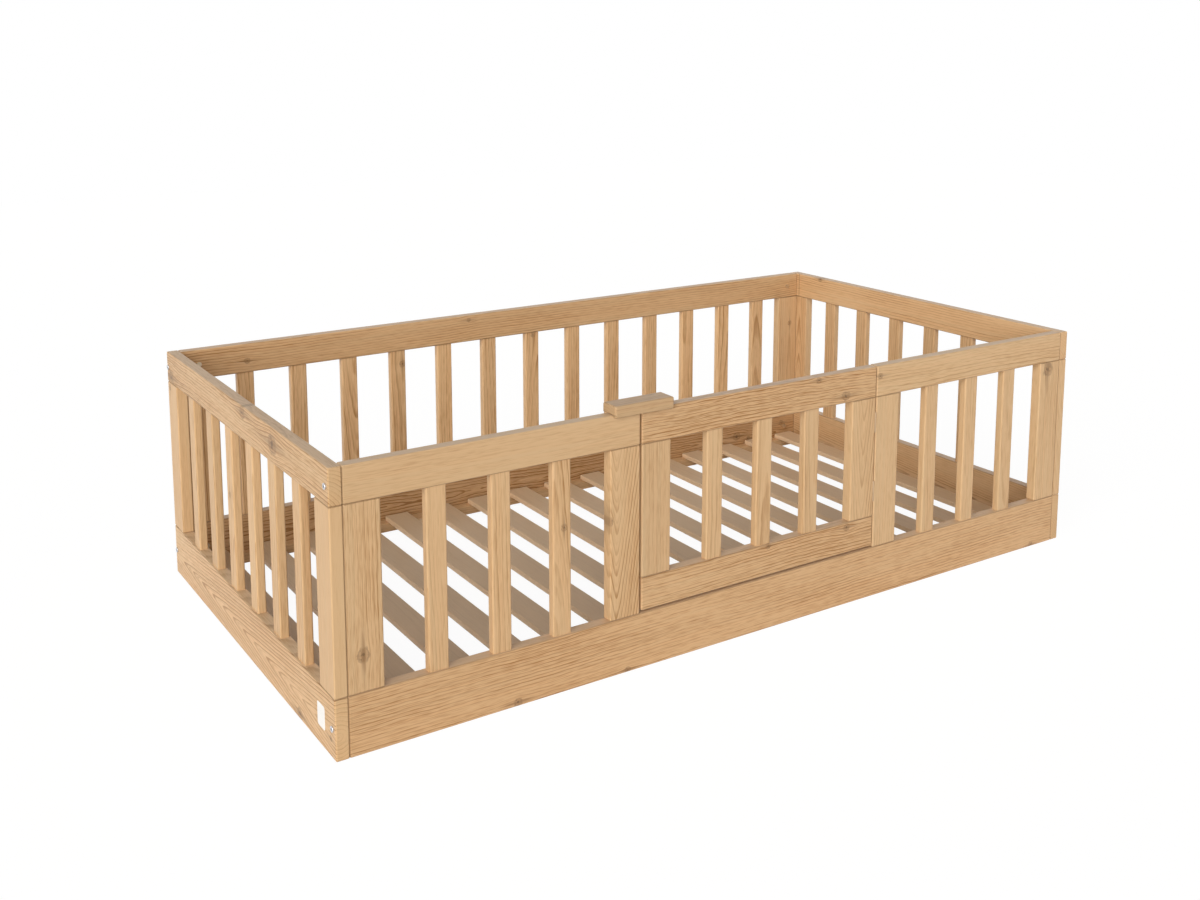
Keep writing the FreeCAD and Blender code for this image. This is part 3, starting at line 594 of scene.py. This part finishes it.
# %% End panels and back panel
LEFT_END_SHINE = 0.18       # the low side light would veil a shinier left end
END_BOARDS = {
    "left_end_top_rail": dict(
        END_RAIL, seed=12, pith=(-0.045, 0.030), ring=0.0058, wander=0.014, ripple=1.5,
        contrast=1.05, grain=2.2, redness=0.22, shine=LEFT_END_SHINE,
        knots=[(-0.185, 0.433, 0.014), (-0.036, 0.450, 0.010), (0.410, 0.413, 0.013)],
        shaded_seams=[LEFT_CORNER, END_RAIL_FOOT, RAIL_FOOT]),
    "left_end_bottom_board": dict(
        END_RAIL, seed=13, pith=(-0.010, 0.006), ring=0.0066, wander=0.004, taper=0.110, ripple=1.4,
        contrast=1.25, grain=1.6, redness=0.20, brightness=1.08, shine=LEFT_END_SHINE,
        knots=[(-0.272, 0.010, 0.009), (-0.405, 0.030, 0.004)],
        shaded_seams=[LEFT_CORNER, END_BOARD_TOP, BOARD_TOP]),
    "left_end_front_stile": dict(
        END_STILE, seed=14, pith=(0.05, 0.04), ring=0.0062,
        contrast=0.25, grain=0.8, redness=0.25, shine=LEFT_END_SHINE,
        shaded_seams=[LEFT_CORNER, *END_STILE_SEAMS]),
    "left_end_back_stile": dict(
        END_STILE, seed=15, pith=(-0.05, 0.04), ring=0.0062,
        contrast=0.35, redness=0.28, brightness=1.03, shine=LEFT_END_SHINE,
        knots=[(0.390, 0.420, 0.005)], shaded_seams=END_STILE_SEAMS),
    "left_end_spindles": dict(
        END_SPINDLES, seed=50, ring=0.0060,
        contrast=0.40, grain=1.4, redness=0.28, brightness=1.03, shine=LEFT_END_SHINE,
        knots=[(0.274, 0.063, 0.005)]),
    "right_end_top_rail": dict(
        END_RAIL, seed=16, pith=(-0.04, 0.03), ring=0.0054,
        contrast=0.55, grain=1.2, redness=0.55, brightness=1.06, scattered=0.12,
        shaded_seams=[RIGHT_CORNER, BACK_SHADOW_LINE, END_RAIL_FOOT]),
    "right_end_bottom_board": dict(
        END_RAIL, seed=17, pith=(-0.02, 0.015), ring=0.0056, wander=0.010, taper=-0.05,
        contrast=0.60, grain=1.2, redness=0.50, scattered=0.12,
        shaded_seams=[RIGHT_CORNER, END_BOARD_TOP]),
    "right_end_front_stile": dict(
        END_STILE, seed=18, pith=(0.03, 0.03), ring=0.0060, taper=0.10, contrast=0.80, redness=0.35,
        shaded_seams=[RIGHT_CORNER, *END_STILE_SEAMS]),
    "right_end_back_stile": dict(
        END_STILE, seed=19, pith=(0.0, 0.02), ring=0.0060, taper=0.08, contrast=0.70, redness=0.45,
        shaded_seams=END_STILE_SEAMS),
    "right_end_spindles": dict(
        END_SPINDLES, seed=60, ring=0.0060, contrast=0.65, grain=1.3, redness=0.40),
}
BACK_BOARDS = {
    "back_top_rail": dict(
        RAIL, seed=21, pith=(0.045, 0.022), ring=0.0054, wander=0.020, taper=0.01,
        contrast=0.70, grain=1.5, redness=0.60, brightness=0.99,
        knots=[(-0.675, 0.425, 0.005), (-0.166, 0.450, 0.004)], shaded_seams=[RIGHT_CORNER, RAIL_FOOT]),
    "back_bottom_board": dict(
        RAIL, seed=22, pith=(0.0, 0.012), ring=0.0064, wander=0.030, taper=0.02, ripple=3.5,
        contrast=1.40, grain=1.6, redness=1.0, brightness=0.90, scattered=0.25,
        knots=[(0.612, 0.048, 0.009), (0.763, 0.060, 0.006)], shaded_seams=[BOARD_TOP]),
    "back_left_stile": dict(
        STILE, seed=23, pith=(0.04, 0.04), ring=0.0060, contrast=0.70, redness=0.45,
        shaded_seams=STILE_SEAMS),
    "back_right_stile": dict(
        STILE, seed=24, pith=(0.01, 0.02), ring=0.0060, taper=0.03, contrast=0.60, redness=0.45,
        knots=[(0.33, 0.785, 0.005)], shaded_seams=[RIGHT_CORNER, *STILE_SEAMS]),
    "back_spindles": dict(
        SPINDLES, seed=70, ring=0.0060, contrast=0.62, grain=1.9, redness=0.45, brightness=1.11,
        knots=[(0.371, -0.329, 0.006), (0.395, 0.002, 0.005)]),
}
LACQUERED_BOARDS = {**FRONT_BOARDS, **END_BOARDS, **BACK_BOARDS}
for node, look in LACQUERED_BOARDS.items():
    # painted sheen: the narrow top and bottom faces of boards that run level are greyed and paled
    edge = RAIL_FACE_SHEEN if look["across"] == "Z" else NO_EDGE
    dress(node, timber(f"timber {node}", node, edge=edge, **look))
print("timber on", len(LACQUERED_BOARDS), "nodes")

# %% [markdown]
# ## Slats, ledgers and pegs
#
# The slats are bare wood, planed but not lacquered, and have greyed a little. The same formula serves with
# less contrast and a rougher surface. Sine and cosine steps make each slat differ from its neighbours.

# %% Bare wood under the mattress
slat_nodes = sorted(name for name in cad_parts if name.startswith("slat_") and name[5:].isdigit())
for count, node in enumerate(slat_nodes):
    # painted light: the slats' sides are paler as the floor's bounce would light them, and part of their
    # brightness offsets the shade of the bed's sides
    dress(node, timber(f"bare wood {node}", node, **STILE | dict(along="Y"),
                       pith=(0.02 * math.sin(2.4 * count), 0.06), ring=0.0050, contrast=0.20, grain=0.8,
                       edge=SLAT_SIDE_BOUNCE_LIGHT, redness=0.15, greyness=0.50,
                       brightness=1.24 + 0.03 * math.cos(1.7 * count), sheen=0.45, seed=100 + count))
for count, node in enumerate(("front_ledger", "back_ledger")):
    dress(node, timber(f"bare wood {node}", node, **RAIL, pith=(0.03, 0.05),
                       contrast=0.6, redness=0.6, sheen=0.5, seed=130 + count))
for count, node in enumerate(("slat_pegs", "frame_dowels", "gate_dowels", "latch_pin")):
    dress(node, timber(f"turned wood {node}", node, **STILE, pith=(0.0, 0.04),
                       contrast=0.4, redness=0.35, sheen=0.55, seed=140 + count))
dress("latch_block", timber("timber latch_block", "latch_block", along="X", across="Y",
                            pith=(0.01, 0.030), ring=0.0050, contrast=0.6, grain=1.5, redness=0.36,
                            brightness=0.83, shaded_seams=[LATCH_LINE], seed=150))

# %% [markdown]
# ## Bolts, nuts and hinges
#
# The bolt heads are bright plated steel, the nuts a dull yellow zinc, and the hinges and screws have a
# brown finish. Fine marks break up the highlights on all of them.

# %% Plated steel
STEEL_BUMP, STEEL_LIFT = 0.15, 0.00005
STEEL_MARKS = (9000.0, 1400.0)      # marks in a metre, along X and across it
STEEL_SMUDGES = 300.0
STEEL_PALER = 1.08


def plated_steel(name, colour, roughness):
    """Metal whose roughness and height vary in fine marks."""
    material, tree, feed = new_material(name, STEEL_BUMP, STEEL_LIFT, metallic=1.0)
    coordinates = tree.nodes.new("ShaderNodeTexCoord")
    x, y, z = Wire(tree, coordinates.outputs["Object"]).split()
    fine, coarse = STEEL_MARKS
    marks = noise(tree, x * fine, y * coarse, z * coarse, 3.0)[0]
    smudge = noise(tree, x * STEEL_SMUDGES, y * STEEL_SMUDGES, z * STEEL_SMUDGES)[0]
    paler = tuple(min(1.0, part * STEEL_PALER) for part in colour)
    feed(blend(tree, smudge, colour, paler), marks * 0.12 + smudge * 0.10 + roughness, marks)
    return material


dress("corner_bolts", plated_steel("bright steel", (0.60, 0.60, 0.62), 0.12))
dress("corner_nuts", plated_steel("yellow zinc", (0.66, 0.56, 0.41), 0.30))
for node in ("fixed_hinge_leaves", "gate_hinge_leaves", "hinge_pins", "fixed_hinge_screws",
             "gate_hinge_screws", "ledger_screws"):
    dress(node, plated_steel(f"bronzed {node}", (0.50, 0.36, 0.23), 0.50))

# %% [markdown]
# ## A blank label
#
# A small white fabric label sits at the front foot of the left end board. It is a rounded rectangle
# swept outwards in rings from its middle, flat with a slightly turned-down edge. It carries no print.

# %% Label surface
LABEL_CENTRE = (-0.830, -0.3665, 0.050)       # on the left end's outer face
LABEL_HALF = (0.0155, 0.0195)                 # half width and half height
LABEL_THICKNESS = 0.0004
LABEL_CORNER = 9.0                            # power of the superellipse outline
LABEL_FLATNESS = 14                           # power by which the edge turns down
LABEL_RINGS, LABEL_STEPS = 14, 96


def label_mesh(rings=LABEL_RINGS, steps=LABEL_STEPS):
    """x = -thickness * (1 - s^flatness), y and z on |y/a|^p + |z/b|^p = s^p, for s from 0 to 1."""
    angle = np.linspace(0, 2 * np.pi, steps, endpoint=False)
    shape = (np.abs(np.cos(angle)) ** LABEL_CORNER + np.abs(np.sin(angle)) ** LABEL_CORNER)
    reach = shape ** (-1 / LABEL_CORNER)
    share = np.sin(np.linspace(0, np.pi / 2, rings + 1)[1:])
    y = LABEL_HALF[0] * np.outer(share, reach * np.cos(angle))
    z = LABEL_HALF[1] * np.outer(share, reach * np.sin(angle))
    x = -LABEL_THICKNESS * (1 - share ** LABEL_FLATNESS)[:, None] * np.ones_like(angle)
    points = np.stack([x, y, z], -1).reshape(-1, 3)
    points = np.vstack([points, [[-LABEL_THICKNESS, 0, 0]], [[0, 0, 0]]]) + np.array(LABEL_CENTRE)
    ring, step = np.meshgrid(np.arange(rings - 1), np.arange(steps), indexing="ij")
    after = (step + 1) % steps
    quads = np.stack([ring * steps + step, (ring + 1) * steps + step,
                      (ring + 1) * steps + after, ring * steps + after], -1).reshape(-1, 4)
    middle, back, edge = rings * steps, rings * steps + 1, (rings - 1) * steps
    turn = np.arange(steps)
    front_cap = np.stack([np.full(steps, middle), turn, (turn + 1) % steps], -1)
    back_cap = np.stack([np.full(steps, back), edge + (turn + 1) % steps, edge + turn], -1)
    return points, [*quads.tolist(), *front_cap.tolist(), *back_cap.tolist()]


def new_piece(name, points, faces, material, body):
    """Add a mesh object from numpy points that rides on a body of the bed."""
    data = bpy.data.meshes.new(name)
    data.from_pydata(points.tolist(), [], faces)
    data.validate()
    data.shade_smooth()
    data.materials.append(material)
    piece = bpy.data.objects.new(name, data)
    bpy.context.scene.collection.objects.link(piece)
    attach(piece, body)


CLOTH_BUMP, CLOTH_LIFT = 0.5, 0.00008
CLOTH_THREADS = 9000.0              # radians of the weave in a metre
CLOTH_SHADE, CLOTH_WHITE = (0.80, 0.79, 0.76), (0.90, 0.89, 0.87)


def woven_label():
    """Off-white cloth with a fine plain weave."""
    material, tree, feed = new_material("white cloth", CLOTH_BUMP, CLOTH_LIFT)
    coordinates = tree.nodes.new("ShaderNodeTexCoord")
    _, y, z = Wire(tree, coordinates.outputs["Object"]).split()
    warp, weft = ((place * CLOTH_THREADS).math("SINE") for place in (y, z))
    weave = (warp * weft) * 0.5 + 0.5
    feed(blend(tree, weave, CLOTH_SHADE, CLOTH_WHITE), weave * 0.1 + 0.7, weave)
    return material


points, faces = label_mesh()
new_piece("blank_label", points, faces, woven_label(), "bed_frame")

# %% [markdown]
# ## Floor and light
#
# The bed stands on white. A floor lit until it is white would need so much light that the wood would burn
# out, so the floor looks white to the camera by itself and still darkens a little where the bed shades
# it. The light is a wide soft one from the front left, with a sky that is dimmer overhead: the rails'
# top faces are darker than their fronts, as they are in a white studio with a low light.

# %% Floor
FLOOR_SIZE = 14.0
FLOOR_COLOUR = (0.82, 0.81, 0.79)
FLOOR_ROUGHNESS = 0.9
FLOOR_OWN_WHITE = 0.88         # how much of the white the camera sees by itself
FLOOR_GLOW = 1.07              # brings the unshaded floor up to white


def seen_itself(tree):
    """1 on rays that show a thing, straight, in a mirror or through glass; 0 on those that light."""
    path = tree.nodes.new("ShaderNodeLightPath")
    straight, mirrored, through_glass = (Wire(tree, path.outputs[f"Is {kind} Ray"])
                                         for kind in ("Camera", "Glossy", "Transmission"))
    return straight.most(mirrored, through_glass)


half = FLOOR_SIZE / 2
floor_data = bpy.data.meshes.new("floor")
floor_data.from_pydata([(-half, -half, 0), (half, -half, 0), (half, half, 0), (-half, half, 0)], [],
                       [(0, 1, 2, 3)])
floor = bpy.data.objects.new("floor", floor_data)
bpy.context.scene.collection.objects.link(floor)

floor_material = bpy.data.materials.new("white floor")
floor_material.use_nodes = True
tree = floor_material.node_tree
surface = tree.nodes["Principled BSDF"]
surface.inputs["Base Color"].default_value = (*FLOOR_COLOUR, 1.0)
surface.inputs["Roughness"].default_value = FLOOR_ROUGHNESS
surface.inputs["Specular IOR Level"].default_value = 0.0
white = tree.nodes.new("ShaderNodeEmission")
white.inputs["Strength"].default_value = FLOOR_GLOW
mixed = tree.nodes.new("ShaderNodeMixShader")
plug(tree, mixed.inputs["Fac"], seen_itself(tree) * FLOOR_OWN_WHITE)
tree.links.new(surface.outputs["BSDF"], mixed.inputs[1])
tree.links.new(white.outputs["Emission"], mixed.inputs[2])
tree.links.new(mixed.outputs["Shader"], tree.nodes["Material Output"].inputs["Surface"])
floor_data.materials.append(floor_material)

# %% Sky
SKY_AT_HORIZON = 0.80
SKY_OVERHEAD = 0.16
SKY_OVERHEAD_FROM = 0.8        # height on the sky's dome, of 1, from where it is as dim as overhead

world = bpy.data.worlds.new("studio")
bpy.context.scene.world = world
world.use_nodes = True
tree = world.node_tree
tree.nodes.clear()
height = Wire(tree, tree.nodes.new("ShaderNodeTexCoord").outputs["Generated"]).split()[2]
strength = height.ramp(0.0, SKY_OVERHEAD_FROM, SKY_AT_HORIZON, SKY_OVERHEAD)
background = tree.nodes.new("ShaderNodeBackground")
background.inputs["Color"].default_value = (1, 1, 1, 1)
# as dim as the light needs, and plain white where it is seen
plug(tree, background.inputs["Strength"], strength + (strength * -1.0 + 1.0) * seen_itself(tree))
output = tree.nodes.new("ShaderNodeOutputWorld")
tree.links.new(background.outputs["Background"], output.inputs["Surface"])

# %% Key light
KEY_SIDE = Vector((-3.1, -2.6, 1.5))        # the side that it comes from
KEY_SOFTNESS = math.radians(55)             # how wide it looks from the bed
KEY_STRENGTH = 3.0
KEY_COLOUR = (1.0, 0.985, 0.965)

key_data = bpy.data.lights.new("key", "SUN")
key_data.angle, key_data.energy, key_data.color = KEY_SOFTNESS, KEY_STRENGTH, KEY_COLOUR
key = bpy.data.objects.new("key", key_data)
bpy.context.scene.collection.objects.link(key)
key.location = KEY_SIDE
key.rotation_euler = KEY_SIDE.to_track_quat("Z", "Y").to_euler()

# %% [markdown]
# ## Finish
#
# The picture shows colours as they are written, through the Standard view.

# %% Colour management
bpy.context.scene.view_settings.view_transform = "Standard"
